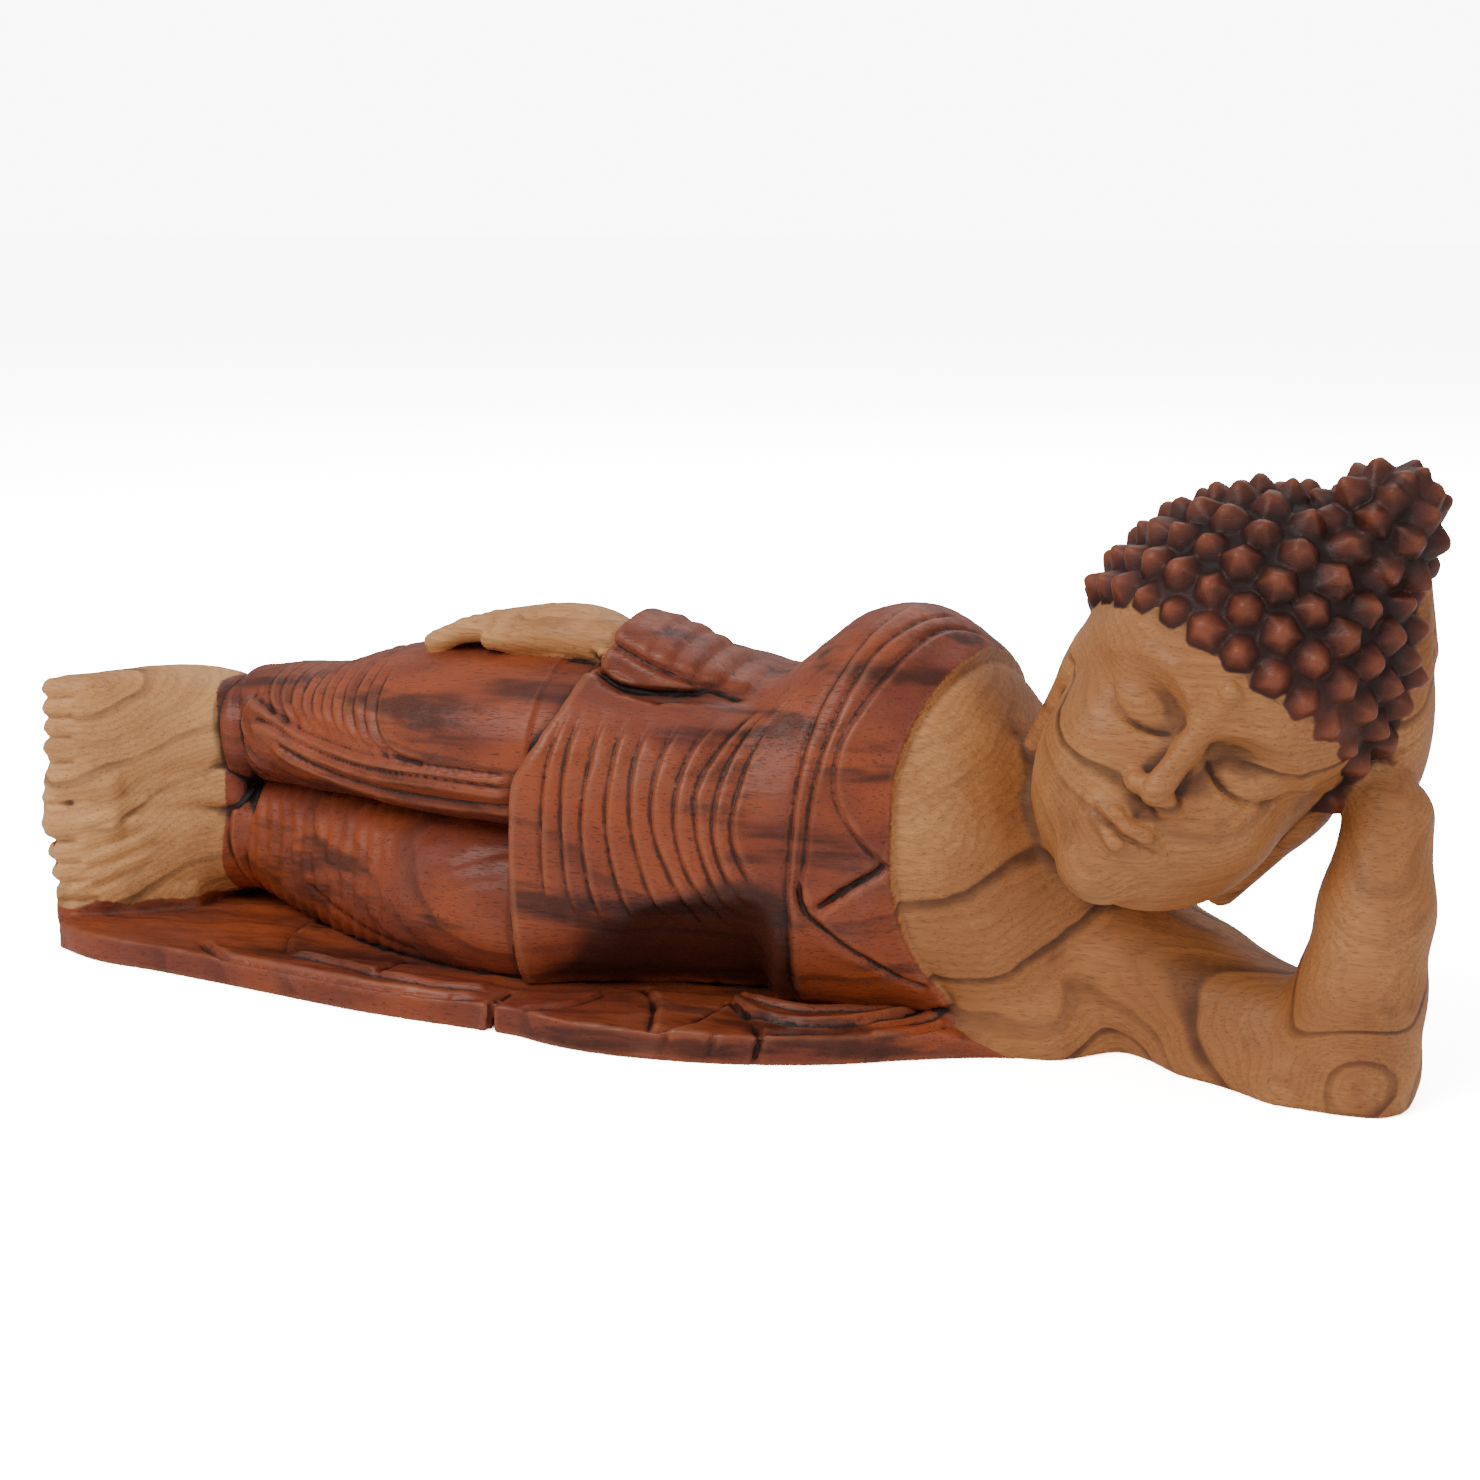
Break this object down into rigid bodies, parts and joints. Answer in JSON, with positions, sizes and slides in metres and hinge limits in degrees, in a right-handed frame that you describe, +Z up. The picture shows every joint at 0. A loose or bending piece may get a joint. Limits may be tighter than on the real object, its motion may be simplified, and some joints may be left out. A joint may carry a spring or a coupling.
{
  "type": "reclining buddha statue",
  "caption": "Carved wooden figure of a Buddha lying on its side on a thin carved cloth, head propped on one bent arm, the other arm along the body.",
  "frame": {"origin": "on the flat underside, below the middle of the statue's bounding box", "axes": "+X along the length from the feet to the head, -Y the way the figure faces, +Z up"},
  "size_m": [0.3992, 0.1298, 0.1583],
  "materials": {
    "carved_wood": "satin, red-brown stain on robe, cloth and hair, bare on skin"
  },
  "bodies": {
    "root": {"reclining_buddha": "carved_wood"}
  },
  "joints": []
}
